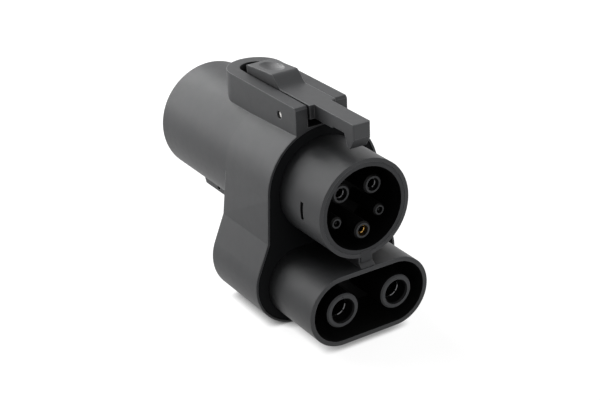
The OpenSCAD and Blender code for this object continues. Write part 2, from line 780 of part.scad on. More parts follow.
// Copper strip from the earth socket's tail to the rear earth pin
link_t = 2;
link_half = 4;
link_top = 3;
module earth_link() {
  front = retainer_back + 1;
  back = inlet_front - fit;
  color("#b87b4f") stand() difference() {
    union() {
      translate([-link_half, front, -earth_drop - link_half]) cube([2 * link_half, link_t, earth_drop + link_half - link_top]);
      translate([-link_half, front, -link_top - link_t]) cube([2 * link_half, back - front, link_t]);
      translate([-link_half, back - link_t, -rear_earth_drop - link_half])
        cube([2 * link_half, link_t, rear_earth_drop + link_half - link_top]);
    }
    rod(0, front - 1, -earth_drop, earth_socket_r + fit, link_t + 2);
    rod(0, back - link_t - 3, -rear_earth_drop, rear_earth_r - pin_shoulder + fit, link_t + 4);
  }
}

// Board between the signal contacts, held in a slot of the rear inlet's shelf
board_side = 5;
board_lead = 10;
board_half = sqrt(pow(bore_r, 2) - pow(board_z + board_t, 2)) - board_side;
board_front = retainer_back + board_lead;
board_back = inlet_front - 1;
chip_h = 1.4;
chips = [[-9, 5, 6], [4, 7, 5]];
module circuit_board() {
  color("#2f6b45") stand() {
    translate([-board_half, board_front, board_z]) cube([2 * board_half, board_back - board_front, board_t]);
    for (c = chips) translate([c[0], board_front + c[1], board_z + board_t - eps]) cube([c[2], c[2], chip_h]);
  }
}

// Temperature sensor seated on a busbar
sensor_size = [5, 7, 3];
sensor_lead = 14;
sensor_y = bar_y + sensor_lead;
module temperature_sensor(s) {
  color("#1f2022") stand() translate([s * dc_x - sensor_size.x / 2, sensor_y, power_z + bar_t / 2 + fit / 2])
    cube(sensor_size);
}
module temperature_sensor_positive() { temperature_sensor(-1); }
module temperature_sensor_negative() { temperature_sensor(1); }

rear_housing();
nose_moulding();
face_seal();
front_gasket();
ac_contact_carrier();
dc_contact_carrier();
contact_retainer();
retainer_screws();
ac_line_socket_left();
ac_line_socket_right();
earth_socket();
pilot_socket();
proximity_socket();
dc_socket_positive();
dc_socket_negative();
latch_lever();
hinge_pin();
latch_spring();
rear_inlet();
rear_seal_ring();
rear_screws();
rear_power_pin_positive();
rear_power_pin_negative();
rear_earth_pin();
rear_pilot_pin();
rear_proximity_pin();
busbar_positive();
busbar_negative();
earth_link();
circuit_board();
temperature_sensor_positive();
temperature_sensor_negative();
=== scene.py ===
"""Looks of an electric vehicle charging adapter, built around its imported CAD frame.

The adapter lies on its foot with the two noses towards -Y and the cable side towards +Y.
Each CAD node keeps its shape and gets a procedural finish. What is too fine for the solids, such as
the slits of the sprung contacts, the polarity marks and the screw recesses, is added as pieces of its
own.
"""

import json
import logging
import math
from dataclasses import dataclass
from enum import Enum
from typing import Any, Callable, Sequence

import bmesh
import bpy
from mathutils import Matrix, Vector


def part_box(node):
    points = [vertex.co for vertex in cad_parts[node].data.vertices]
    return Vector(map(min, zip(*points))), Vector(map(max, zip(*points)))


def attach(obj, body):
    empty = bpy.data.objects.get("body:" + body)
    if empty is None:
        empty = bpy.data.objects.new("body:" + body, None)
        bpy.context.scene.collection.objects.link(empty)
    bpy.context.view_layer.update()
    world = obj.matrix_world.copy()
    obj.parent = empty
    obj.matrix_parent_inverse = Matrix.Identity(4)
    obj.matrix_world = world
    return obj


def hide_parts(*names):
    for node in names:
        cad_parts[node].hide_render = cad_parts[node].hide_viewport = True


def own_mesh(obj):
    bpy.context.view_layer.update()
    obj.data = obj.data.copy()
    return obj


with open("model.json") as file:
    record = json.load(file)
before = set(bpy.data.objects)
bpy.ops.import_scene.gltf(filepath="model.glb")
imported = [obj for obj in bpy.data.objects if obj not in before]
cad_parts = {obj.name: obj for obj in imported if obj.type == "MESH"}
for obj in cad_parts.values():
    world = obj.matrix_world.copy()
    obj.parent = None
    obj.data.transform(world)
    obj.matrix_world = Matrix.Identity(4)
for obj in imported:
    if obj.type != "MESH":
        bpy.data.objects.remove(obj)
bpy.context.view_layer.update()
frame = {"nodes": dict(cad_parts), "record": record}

logging.basicConfig(level=logging.INFO, format="%(message)s")
log = logging.getLogger("adapter")

MM = 0.001
IMAGE_WIDTH = 600
FULL_TURN = 360.0
# Edges that turn more than this stay sharp under smooth shading.
SHARP_ANGLE = math.radians(35)
# Vertices closer than this, in millimetres, become one.
MERGE_MM = 1e-4
# The CAD drawing's AC rim, Y = 0, stands at this Y of the frame, in millimetres.
STAND_Y = -62.8
WHITE = (1.0, 1.0, 1.0, 1.0)
# Black painted as shade into the hollows round the contacts
PAINTED_HOLLOW_SHADE = "#050506"
# Span that most values of a noise texture lie in
NOISE_SPAN = {"From Min": 0.3, "From Max": 0.7}
# Sockets of a Mix node on colours: its factor, its two colours and its result
FACTOR, FIRST, SECOND, MIXED = 0, 6, 7, 2


# Colours and nodes


def linear(code: str) -> tuple[float, float, float, float]:
    """Turns an sRGB hex colour into linear RGBA.

    Args:
        code: colour such as "#3c3d3f".

    Returns:
        The linear colour with an alpha of 1.
    """
    channels = [int(code[i:i + 2], 16) / 255 for i in (1, 3, 5)]
    light = [c / 12.92 if c <= 0.04045 else ((c + 0.055) / 1.055) ** 2.4 for c in channels]
    return (*light, 1.0)


def add(tree: bpy.types.NodeTree, kind: str, inputs: dict[str | int, Any] | None = None,
        **settings: Any) -> bpy.types.Node:
    """Adds one shader node with its settings and links.

    Args:
        tree: node tree that gets the node.
        kind: node type without its ShaderNode prefix.
        inputs: socket name or index to a value, or to the output socket that feeds it.
        **settings: attributes of the node.

    Returns:
        The new node.
    """
    node = tree.nodes.new("ShaderNode" + kind)
    for name, value in settings.items():
        setattr(node, name, value)
    for key, value in (inputs or {}).items():
        socket = node.inputs[key]
        if isinstance(value, bpy.types.NodeSocket):
            tree.links.new(value, socket)
        else:
            socket.default_value = value
    return node


def new_material(name: str) -> tuple[bpy.types.Material, bpy.types.NodeTree]:
    """Makes an empty node material.

    Args:
        name: name of the material.

    Returns:
        The material and its node tree, with the default nodes taken out.
    """
    material = bpy.data.materials.new(name)
    material.use_nodes = True
    material.node_tree.nodes.clear()
    return material, material.node_tree


def shown_rays(tree: bpy.types.NodeTree) -> bpy.types.NodeSocket:
    """Finds the rays that show the studio: the camera's and those that gloss and glass send on.

    Args:
        tree: node tree that gets the nodes.

    Returns:
        Socket that is 1 for such a ray.
    """
    path = add(tree, "LightPath").outputs
    seen = add(tree, "Math", {0: path["Is Camera Ray"], 1: path["Is Glossy Ray"]}, operation="MAXIMUM")
    sent = {0: seen.outputs[0], 1: path["Is Transmission Ray"]}
    return add(tree, "Math", sent, operation="MAXIMUM").outputs[0]


def shaded(tree: bpy.types.NodeTree, colour: bpy.types.NodeSocket,
           reach_mm: float) -> bpy.types.NodeSocket:
    """Paints shade into a colour in corners and hollows, where little light gets.

    Args:
        tree: node tree that gets the nodes.
        colour: the colour.
        reach_mm: how far away a neighbouring surface still shades.

    Returns:
        Socket with the darker colour.
    """
    closed_sky, clear_sky, darkest = 0.25, 0.92, 0.04
    open_sky = add(tree, "AmbientOcclusion", {"Distance": reach_mm * MM}, samples=6)
    depth = add(tree, "MapRange", {"Value": open_sky.outputs["AO"], "From Min": closed_sky,
                                   "From Max": clear_sky, "To Min": darkest})
    return add(tree, "Mix", {FACTOR: 1.0, FIRST: colour, SECOND: depth.outputs[0]}, data_type="RGBA",
               blend_type="MULTIPLY").outputs[MIXED]


# Finishes


@dataclass(frozen=True)
class MouldedPlastic:
    """Injection-moulded plastic with an eroded mould texture.

    The real material is a glass-filled nylon or PBT in charcoal. The mould's spark-eroded grain
    scatters the light into a broad soft sheen, and the mould's edges leave a radius that catches a
    thin light line. The edges' colour is also painted paler: a painted highlight along that line, and
    the pale of hands' rubbing.

    Attributes:
        name: name of the material.
        colour: sRGB hex of the plastic.
        roughness: microfacet roughness of the sheen.
        grain_mm: size of the mould texture. The real one is under 0.1 mm and is drawn coarser to show.
        grain_deep: strength of that texture in the bump.
        edge_mm: radius that the moulded edges show.
        edge_light: how much paler the edges are painted, as a highlight and as rubbing, from 0 to 1.
        specular: specular level, 0.5 for an index of 1.5.
        shade_mm: reach of the shade painted into its corners.
    """

    name: str
    colour: str
    roughness: float = 0.5
    grain_mm: float = 0.35
    grain_deep: float = 0.12
    edge_mm: float = 0.35
    edge_light: float = 0.25
    specular: float = 0.5
    shade_mm: float = 22.0

    # Sizes of the flow clouds in the plastic and of the dust film, and the depth of the grain
    CLOUD_MM = 11.0
    DUST_MM = 2.6
    GRAIN_DEPTH_MM = 0.05
    # How much the clouds change the colour, and the dust the roughness, either way
    TONE_SPREAD = 0.07
    ROUGH_SPREAD = 0.03
    # Cosine of an edge's turn from its face where the painted highlight and rubbing start and where they
    # are full
    RUB_AND_HIGHLIGHT_START = 0.997
    RUB_AND_HIGHLIGHT_FULL = 0.92
    # An edge's colour of painted highlight and rubbing, as a gain on the plastic's and a lift
    RUB_AND_HIGHLIGHT_GAIN = 3.2
    RUB_AND_HIGHLIGHT_LIFT = 0.01

    def build(self) -> bpy.types.Material:
        """Builds the node material.

        Returns:
            The finished material.
        """
        material, tree = new_material(self.name)
        place = add(tree, "TexCoord").outputs["Object"]
        grain = add(tree, "TexNoise", {"Vector": place, "Scale": 1 / (self.grain_mm * MM), "Detail": 3.0,
                                       "Roughness": 0.6})
        cloud = add(tree, "TexNoise", {"Vector": place, "Scale": 1 / (self.CLOUD_MM * MM), "Detail": 2.0})
        dust = add(tree, "TexNoise", {"Vector": place, "Scale": 1 / (self.DUST_MM * MM), "Detail": 4.0,
                                      "Roughness": 0.7})
        round_edge = add(tree, "Bevel", {"Radius": self.edge_mm * MM}, samples=6)
        bump = add(tree, "Bump", {"Height": grain.outputs["Fac"], "Strength": self.grain_deep,
                                  "Distance": self.GRAIN_DEPTH_MM * MM, "Normal": round_edge.outputs[0]})
        flat = add(tree, "NewGeometry").outputs["Normal"]
        turn = add(tree, "VectorMath", {0: round_edge.outputs[0], 1: flat}, operation="DOT_PRODUCT")
        edge_rub_and_highlight = add(tree, "MapRange", {"Value": turn.outputs["Value"], "From Min": self.RUB_AND_HIGHLIGHT_START,
                                     "From Max": self.RUB_AND_HIGHLIGHT_FULL, "To Min": 0.0, "To Max": self.edge_light})
        base = linear(self.colour)
        tone = add(tree, "MapRange", {"Value": cloud.outputs["Fac"], **NOISE_SPAN,
                                      "To Min": 1 - self.TONE_SPREAD, "To Max": 1 + self.TONE_SPREAD})
        mottle = add(tree, "Mix", {FACTOR: 1.0, FIRST: base, SECOND: tone.outputs[0]}, data_type="RGBA",
                     blend_type="MULTIPLY")
        # The edges get a paler colour: a painted highlight of their light line, and the rubbing of hands
        pale = (*(min(1.0, c * self.RUB_AND_HIGHLIGHT_GAIN + self.RUB_AND_HIGHLIGHT_LIFT) for c in base[:3]), 1.0)
        colour = add(tree, "Mix", {FACTOR: edge_rub_and_highlight.outputs[0], FIRST: mottle.outputs[MIXED], SECOND: pale},
                     data_type="RGBA")
        rough = add(tree, "MapRange", {"Value": dust.outputs["Fac"], **NOISE_SPAN,
                                       "To Min": self.roughness - self.ROUGH_SPREAD,
                                       "To Max": self.roughness + self.ROUGH_SPREAD})
        zoned = self.zone(tree, place, colour.outputs[MIXED])
        # The base colour gets shade painted into its corners and hollows
        shader = add(tree, "BsdfPrincipled", {"Base Color": shaded(tree, zoned, self.shade_mm),
                                              "Roughness": rough.outputs[0], "Normal": bump.outputs[0],
                                              "Specular IOR Level": self.specular})
        add(tree, "OutputMaterial", {"Surface": shader.outputs[0]})
        return material

    def zone(self, tree: bpy.types.NodeTree, place: bpy.types.NodeSocket,
             colour: bpy.types.NodeSocket) -> bpy.types.NodeSocket:
        """Leaves the colour the same all over; finishes that paint black shade into their hollows override
        this.
        """
        return colour


@dataclass(frozen=True)
class CarrierPlastic(MouldedPlastic):
    """Contact carrier, grey on its forward ring faces, with black shade painted into its hollows.

    The real material is a heat-resistant polyester that is nearly free of gloss. Little light gets into
    its hollows, so all of it is painted black as shade except the faces of the towers and of the outer
    ring that look forward, which keep its matte grey.

    Attributes:
        front_mm: depth in the frame up to which faces that look forward are grey.
        straight: how straight forward a grey face looks, from 0 to 1.
    """

    front_mm: float = -57.0
    straight: float = 0.95

    # How softly the grey fades as a face turns away, and over what depth it ends
    TURN_FADE = 0.15
    DEPTH_FADE_MM = 0.2

    def zone(self, tree: bpy.types.NodeTree, place: bpy.types.NodeSocket,
             colour: bpy.types.NodeSocket) -> bpy.types.NodeSocket:
        """Paints black shade on all but the forward ring faces.

        Args:
            tree: node tree of the material.
            place: object coordinates.
            colour: colour of the faces.

        Returns:
            The zoned colour.
        """
        normal = add(tree, "SeparateXYZ", {0: add(tree, "NewGeometry").outputs["Normal"]})
        facing = add(tree, "MapRange", {"Value": normal.outputs["Y"],
                                        "From Min": self.TURN_FADE - self.straight,
                                        "From Max": -self.straight})
        depth = add(tree, "SeparateXYZ", {0: place})
        near = add(tree, "MapRange", {"Value": depth.outputs["Y"],
                                      "From Min": (self.front_mm + self.DEPTH_FADE_MM) * MM,
                                      "From Max": (self.front_mm - self.DEPTH_FADE_MM) * MM})
        face = add(tree, "Math", {0: facing.outputs[0], 1: near.outputs[0]}, operation="MULTIPLY")
        return add(tree, "Mix", {FACTOR: face.outputs[0], FIRST: linear(PAINTED_HOLLOW_SHADE), SECOND: colour},
                   data_type="RGBA").outputs[MIXED]


@dataclass(frozen=True)
class NosePlastic(MouldedPlastic):
    """Nose moulding, charcoal outside and black in the hollow of its DC shroud.

    The real material is the housing's nylon from a finer mould. Hardly any light gets between the two
    contacts and out again, so the hollow looks black.

    Attributes:
        centre_z_mm: height of the shroud's middle.
        half_x_mm: half the distance of its two round ends.
        hollow_mm: radius of its hollow.
        rim_mm: depth of the rim's face in the frame.
    """

    centre_z_mm: float = 18.9
    half_x_mm: float = 13.5
    hollow_mm: float = 14.5
    rim_mm: float = -65.2

    # Where the black fades out past the hollow's radius, and where it fades in behind the rim
    RADIUS_FADE_MM = (0.3, 0.1)
    DEPTH_FADE_MM = (0.2, 0.5)

    def zone(self, tree: bpy.types.NodeTree, place: bpy.types.NodeSocket,
             colour: bpy.types.NodeSocket) -> bpy.types.NodeSocket:
        """Paints the hollow black.

        Args:
            tree: node tree of the material.
            place: object coordinates.
            colour: colour of the outside.

        Returns:
            The zoned colour.
        """
        axes = add(tree, "SeparateXYZ", {0: place})
        side = add(tree, "Math", {0: axes.outputs["X"]}, operation="ABSOLUTE")
        past = add(tree, "Math", {0: side.outputs[0], 1: self.half_x_mm * MM}, operation="SUBTRACT")
        round_x = add(tree, "Math", {0: past.outputs[0], 1: 0.0}, operation="MAXIMUM")
        high = add(tree, "Math", {0: axes.outputs["Z"], 1: self.centre_z_mm * MM}, operation="SUBTRACT")
        spoke = add(tree, "CombineXYZ", {0: round_x.outputs[0], 2: high.outputs[0]})
        radius = add(tree, "VectorMath", {0: spoke.outputs[0]}, operation="LENGTH")
        clear, black = ((self.hollow_mm + fade) * MM for fade in self.RADIUS_FADE_MM)
        within = add(tree, "MapRange", {"Value": radius.outputs["Value"], "From Min": clear,
                                        "From Max": black})
        clear, black = ((self.rim_mm + fade) * MM for fade in self.DEPTH_FADE_MM)
        behind = add(tree, "MapRange", {"Value": axes.outputs["Y"], "From Min": clear,
                                        "From Max": black})
        inside = add(tree, "Math", {0: within.outputs[0], 1: behind.outputs[0]}, operation="MULTIPLY")
        return add(tree, "Mix", {FACTOR: inside.outputs[0], FIRST: colour, SECOND: linear(PAINTED_HOLLOW_SHADE)},
                   data_type="RGBA").outputs[MIXED]


@dataclass(frozen=True)
class Elastomer:
    """Black seal rubber.

    The real material is a moulded nitrile or silicone. It gives nearly no diffuse colour, a faint
    bloom and a wide dull sheen.

    Attributes:
        name: name of the material.
        colour: sRGB hex of the rubber.
        roughness: roughness of the sheen.
        specular: specular level.
        bloom_mm: size of the patches of bloom.
        skin_mm: size of the skin's texture. The real one is finer and is drawn coarser to show.
    """

    name: str
    colour: str = "#0c0d0e"
    roughness: float = 0.72
    specular: float = 0.1
    bloom_mm: float = 4.0
    skin_mm: float = 0.25

    BLOOM_GAIN = 1.8
    SKIN_DEPTH_MM = 0.04

    def build(self) -> bpy.types.Material:
        """Builds the node material.

        Returns:
            The finished material.
        """
        material, tree = new_material(self.name)
        place = add(tree, "TexCoord").outputs["Object"]
        bloom = add(tree, "TexNoise", {"Vector": place, "Scale": 1 / (self.bloom_mm * MM), "Detail": 5.0,
                                       "Roughness": 0.65})
        skin = add(tree, "TexNoise", {"Vector": place, "Scale": 1 / (self.skin_mm * MM), "Detail": 2.0})
        base = linear(self.colour)
        grey = (*(c * self.BLOOM_GAIN for c in base[:3]), 1.0)
        colour = add(tree, "Mix", {FACTOR: bloom.outputs["Fac"], FIRST: base, SECOND: grey},
                     data_type="RGBA")
        bump = add(tree, "Bump", {"Height": skin.outputs["Fac"], "Strength": 0.2,
                                  "Distance": self.SKIN_DEPTH_MM * MM})
        shader = add(tree, "BsdfPrincipled", {"Base Color": colour.outputs[MIXED],
                                              "Roughness": self.roughness, "Normal": bump.outputs[0],
                                              "Specular IOR Level": self.specular})
        add(tree, "OutputMaterial", {"Surface": shader.outputs[0]})
        return material


@dataclass(frozen=True)
class TurnedMetal:
    """Turned or drawn metal with its plating: fine rings of tool marks in a bright reflection.

    Attributes:
        name: name of the material.
        colour: sRGB hex of the metal's reflection.
        roughness: mean roughness.
        mark_mm: spacing of the tool marks along the part's depth. Real ones are nearer 0.05 mm and are
            drawn coarser to show.
    """

    name: str
    colour: str
    roughness: float = 0.28
    mark_mm: float = 0.12

    # Marks are squeezed along the part's depth, so that they run round it
    MARK_SQUEEZE = (0.1, 1.0, 0.1)
    MARK_DEPTH_MM = 0.01
    # Size of the patches of tarnish, their span in the noise, and how dark they are
    TARNISH_MM = 1.8
    TARNISH_SPAN = {"From Min": 0.35, "From Max": 0.75}
    TARNISH_GAIN = 0.72
    # How much smoother and rougher the marks get
    SMOOTHER = 0.06
    ROUGHER = 0.08
    # Reach of the shade painted into the metal's hollows, in millimetres
    SHADE_MM = 4.0

    def build(self) -> bpy.types.Material:
        """Builds the node material.

        Returns:
            The finished material.
        """
        material, tree = new_material(self.name)
        place = add(tree, "TexCoord").outputs["Object"]
        squeeze = add(tree, "Mapping", {"Vector": place, "Scale": self.MARK_SQUEEZE})
        marks = add(tree, "TexNoise", {"Vector": squeeze.outputs[0], "Scale": 1 / (self.mark_mm * MM),
                                       "Detail": 2.0})
        tarnish = add(tree, "TexNoise", {"Vector": place, "Scale": 1 / (self.TARNISH_MM * MM),
                                         "Detail": 4.0})
        base = linear(self.colour)
        dull = (*(c * self.TARNISH_GAIN for c in base[:3]), 1.0)
        mix = add(tree, "MapRange", {"Value": tarnish.outputs["Fac"], **self.TARNISH_SPAN})
        colour = add(tree, "Mix", {FACTOR: mix.outputs[0], FIRST: base, SECOND: dull}, data_type="RGBA")
        rough = add(tree, "MapRange", {"Value": marks.outputs["Fac"], **NOISE_SPAN,
                                       "To Min": self.roughness - self.SMOOTHER,
                                       "To Max": self.roughness + self.ROUGHER})
        bump = add(tree, "Bump", {"Height": marks.outputs["Fac"], "Strength": 0.15,
                                  "Distance": self.MARK_DEPTH_MM * MM})
        shader = add(tree, "BsdfPrincipled", {
            "Base Color": shaded(tree, colour.outputs[MIXED], self.SHADE_MM), "Metallic": 1.0,
            "Roughness": rough.outputs[0], "Normal": bump.outputs[0]})
        add(tree, "OutputMaterial", {"Surface": shader.outputs[0]})
        return material


@dataclass(frozen=True)
class BoardLaminate:
    """Glass-epoxy circuit board under green solder mask, with the weave faint below it.

    Attributes:
        name: name of the material.
        colour: sRGB hex of the solder mask.
        thread_colour: its colour over the threads of the weave.
        weave_mm: width of a thread.
        roughness: roughness of the cured mask.
    """

    name: str
    colour: str = "#2b5e3c"
    thread_colour: str = "#316a45"
    weave_mm: float = 0.9
    roughness: float = 0.35

    def build(self) -> bpy.types.Material:
        """Builds the node material.

        Returns:
            The finished material.
        """
        material, tree = new_material(self.name)
        place = add(tree, "TexCoord").outputs["Object"]
        weave = add(tree, "TexChecker", {"Vector": place, "Scale": 1 / (self.weave_mm * MM),
                                         "Color1": linear(self.colour),
                                         "Color2": linear(self.thread_colour)})
        shader = add(tree, "BsdfPrincipled", {"Base Color": weave.outputs[0],
                                              "Roughness": self.roughness})
        add(tree, "OutputMaterial", {"Surface": shader.outputs[0]})
        return material


# The camera and the studio


def towards(azimuth: float, elevation: float) -> Vector:
    """Finds the direction from the object to a place round it.

    Args:
        azimuth: turn about Z from the front, in radians.
        elevation: height above the horizon, in radians.

    Returns:
        The direction, of length 1.
    """
    level = math.cos(elevation)
    return Vector((math.sin(azimuth) * level, -math.cos(azimuth) * level, math.sin(elevation)))


@dataclass(frozen=True)
class View:
    """The photograph's camera, fitted to the coupling face.

    Attributes:
        azimuth: turn about Z from looking along +Y, in degrees.
        elevation: height above the horizon, in degrees.
        roll: turn of the picture, in degrees.
        distance_mm: distance from the target.
        focal_px: focal length in pixels of the photograph.
        target_mm: point that the middle of the picture shows.
    """

    azimuth: float
    elevation: float
    roll: float
    distance_mm: float
    focal_px: float
    target_mm: tuple[float, float, float]

    SENSOR_MM = 36.0
    # Nearest and farthest distance shown, in metres
    CLIP = (0.01, 20.0)

    def build(self) -> bpy.types.Object:
        """Makes the camera and gives it to the scene.

        Returns:
            The camera object.
        """
        az, el, roll = (math.radians(a) for a in (self.azimuth, self.elevation, self.roll))
        back = towards(az, el)
        right = Vector((math.cos(az), math.sin(az), 0.0))
        up = back.cross(right)
        turned_right = right * math.cos(roll) + up * math.sin(roll)
        turned_up = up * math.cos(roll) - right * math.sin(roll)
        data = bpy.data.cameras.new("camera")
        data.sensor_width = self.SENSOR_MM
        data.lens = self.focal_px * data.sensor_width / IMAGE_WIDTH
        data.clip_start, data.clip_end = self.CLIP
        camera = bpy.data.objects.new("camera", data)
        place = Matrix((turned_right, turned_up, back)).transposed().to_4x4()
        place.translation = (Vector(self.target_mm) + back * self.distance_mm) * MM
        camera.matrix_world = place
        bpy.context.scene.collection.objects.link(camera)
        bpy.context.scene.camera = camera
        return camera


@dataclass(frozen=True)
class Softbox:
    """A studio lamp with a diffusing front, a metre from the object.

    Attributes:
        name: name of the lamp.
        azimuth: where it stands, turned about Z from the front, in degrees.
        elevation: its height above the horizon, in degrees.
        power: watts.
        size: width and height of its front, in metres.
    """

    name: str
    azimuth: float
    elevation: float
    power: float
    size: float = 0.4

    # Point that the lamps look at, and their distance from it, in metres
    AIM = Vector((0.0, 0.0, 0.05))
    DISTANCE = 1.0

    def build(self) -> bpy.types.Object:
        """Makes the lamp.

        Returns:
            The lamp object.
        """
        away = towards(math.radians(self.azimuth), math.radians(self.elevation))
        data = bpy.data.lights.new(self.name, "AREA")
        data.shape = "SQUARE"
        data.size = self.size
        data.energy = self.power
        lamp = bpy.data.objects.new(self.name, data)
        lamp.location = self.AIM + away * self.DISTANCE
        lamp.rotation_euler = (-away).to_track_quat("-Z", "Y").to_euler()
        bpy.context.scene.collection.objects.link(lamp)
        return lamp


@dataclass(frozen=True)
class Studio:
    """White sweep, world and lamps of a product photograph.

    Attributes:
        floor_size: size of the floor, in metres.
        glow: what the floor gives off where it is shown; the lamps' light on it makes up the white.
        diffuse: grey of the floor where it is shown.
        bounce: grey of the floor for the light that it throws back at the object.
        contact_reach: how far from the object the painted contact shadow reaches, in metres.
        contact_dark: share of open sky at which the floor gives off nothing.
        contact_clear: share of open sky at which it gives off all.
        world_fill: strength of the even light of the room.
        lamps: the lamps.
    """

    floor_size: float = 6.0
    glow: float = 0.93
    diffuse: float = 0.35
    bounce: float = 0.12
    contact_reach: float = 0.006
    contact_dark: float = 0.1
    contact_clear: float = 0.7
    world_fill: float = 0.02
    lamps: tuple[Softbox, ...] = (
        Softbox("rear", 180.0, 15.0, 2.8),
        Softbox("rear_left", -150.0, 12.0, 2.1),
        Softbox("high_left", -135.0, 40.0, 2.4),
        Softbox("high_rear", 180.0, 40.0, 2.4),
        Softbox("front", 0.0, 12.0, 1.8),
        Softbox("right", 95.0, 20.0, 2.0),
    )

    def floor(self) -> bpy.types.Object:
        """Makes the floor: white to the camera, with the object's shadow kept.

        Returns:
            The floor object.
        """
        mesh = bpy.data.meshes.new("floor")
        shape = bmesh.new()
        bmesh.ops.create_grid(shape, x_segments=1, y_segments=1, size=self.floor_size)
        shape.to_mesh(mesh)
        shape.free()
        floor = bpy.data.objects.new("floor", mesh)
        bpy.context.scene.collection.objects.link(floor)
        mesh.materials.append(self.sweep())
        return floor

    def sweep(self) -> bpy.types.Material:
        """Builds the floor's material: matte white paper, with a contact shadow painted into its glow
        right beside the object.

        Returns:
            The finished material.
        """
        material, tree = new_material("paper_sweep")
        # A contact shadow is painted into the glow where the object closes off the sky
        open_sky = add(tree, "AmbientOcclusion", {"Distance": self.contact_reach}, samples=16)
        glow = add(tree, "MapRange", {"Value": open_sky.outputs["AO"], "From Min": self.contact_dark,
                                      "From Max": self.contact_clear, "To Min": 0.0, "To Max": self.glow})
        paper = add(tree, "BsdfDiffuse", {"Color": (*(self.bounce,) * 3, 1.0)})
        seen = add(tree, "BsdfDiffuse", {"Color": (*(self.diffuse,) * 3, 1.0)})
        light = add(tree, "Emission", {"Color": WHITE, "Strength": glow.outputs[0]})
        lit = add(tree, "AddShader", {0: seen.outputs[0], 1: light.outputs[0]})
        mix = add(tree, "MixShader", {0: shown_rays(tree), 1: paper.outputs[0], 2: lit.outputs[0]})
        add(tree, "OutputMaterial", {"Surface": mix.outputs[0]})
        return material

    def world(self) -> None:
        """Lights the room evenly and shows white where the camera misses the sweep."""
        world = bpy.data.worlds.new("room")
        world.use_nodes = True
        tree = world.node_tree
        tree.nodes.clear()
        fill = add(tree, "Background", {"Color": WHITE, "Strength": self.world_fill})
        white = add(tree, "Background", {"Color": WHITE, "Strength": 1.0})
        mix = add(tree, "MixShader", {0: shown_rays(tree), 1: fill.outputs[0], 2: white.outputs[0]})
        add(tree, "OutputWorld", {"Surface": mix.outputs[0]})
        bpy.context.scene.world = world

    def build(self) -> None:
        """Sets the colour view and makes the room, the floor and the lamps."""
        bpy.context.scene.view_settings.view_transform = "Standard"
        self.world()
        self.floor()
        for lamp in self.lamps:
            lamp.build()
            log.info("lamp %s", lamp.name)


# Mesh helpers


def link_mesh(name: str, shape: bmesh.types.BMesh, material: bpy.types.Material,
              smooth: bool = True) -> bpy.types.Object:
    """Turns a bmesh into an object of the scene.

    Args:
        name: name of the object.
        shape: the bmesh in millimetres, which is freed.
        material: its material.
        smooth: whether its faces are shaded smooth between its sharp edges.

    Returns:
        The new object, at the origin.
    """
    bmesh.ops.remove_doubles(shape, verts=shape.verts, dist=MERGE_MM)
    bmesh.ops.recalc_face_normals(shape, faces=shape.faces)
    for face in shape.faces:
        face.smooth = smooth
    for edge in shape.edges:
        if len(edge.link_faces) == 2 and edge.calc_face_angle(0.0) > SHARP_ANGLE:
            edge.smooth = False
    mesh = bpy.data.meshes.new(name)
    bmesh.ops.scale(shape, vec=(MM, MM, MM), verts=shape.verts)
    shape.to_mesh(mesh)
    shape.free()
    mesh.materials.append(material)
    piece = bpy.data.objects.new(name, mesh)
    bpy.context.scene.collection.objects.link(piece)
    log.info("piece %s: %d faces", name, len(mesh.polygons))
    return piece


def close(shape: bmesh.types.BMesh) -> None:
    """Fills every open end."""
    bmesh.ops.holes_fill(shape, edges=[e for e in shape.edges if e.is_boundary], sides=0)


def lathe(shape: bmesh.types.BMesh, profile: Sequence[tuple[float, float]], axis: Vector,
          start: float = 0.0, sweep: float = FULL_TURN, steps: int = 32) -> None:
    """Spins a closed outline about an axis that runs along Y.

    Args:
        shape: bmesh that gets the solid.
        profile: outline as radius and depth, in millimetres.
        axis: point on the axis, in millimetres; its Y is not used.
        start: angle at which the outline is drawn, in degrees.
        sweep: angle of the spin; under a full turn the ends are closed.
        steps: number of steps.
    """
    across, up = math.cos(math.radians(start)), math.sin(math.radians(start))
    ring = [shape.verts.new((axis.x + r * across, y, axis.z + r * up)) for r, y in profile]
    edges = [shape.edges.new((a, b)) for a, b in zip(ring, ring[1:] + ring[:1])]
    full = sweep >= FULL_TURN
    bmesh.ops.spin(shape, geom=ring + edges, cent=(axis.x, 0.0, axis.z), axis=(0.0, -1.0, 0.0),
                   angle=math.radians(sweep), steps=steps, use_merge=full, use_duplicate=False)
    if not full:
        close(shape)


def rounded(length: float, width: float, height: float, edge: float, place: Matrix,
            shape: bmesh.types.BMesh) -> None:
    """Adds a small block with rounded edges.

    Args:
        length: size along X, in millimetres.
        width: size along Y.
        height: size along Z.
        edge: radius of its edges.
        place: where it goes.
        shape: bmesh that gets it.
    """
    sizes = Matrix.Diagonal((length, width, height, 1.0))
    corners = bmesh.ops.create_cube(shape, size=1.0, matrix=sizes)["verts"]
    edges = list({e for v in corners for e in v.link_edges})
    done = bmesh.ops.bevel(shape, geom=corners + edges, offset=edge, affect="EDGES", segments=2,
                           profile=0.5, material=-1)
    verts = list({v for f in done["faces"] for v in f.verts})
    bmesh.ops.transform(shape, matrix=place, verts=verts)


def mount(name: str) -> tuple[Vector, float, float]:
    """Looks up a round mount of the record.

    Args:
        name: name of the mount.

    Returns:
        Its middle, its radius and its length, in millimetres.
    """
    row = next(m for m in frame["record"]["mounts"] if m["name"] == name)
    return Vector(row["pos_m"]) / MM, row["dims"]["r_mm"], row["dims"]["length_mm"]


def corners_mm(node: str) -> tuple[Vector, Vector]:
    """Looks up the lowest and the highest corner of a node's box, in millimetres."""
    low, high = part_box(node)
    return Vector(low) / MM, Vector(high) / MM


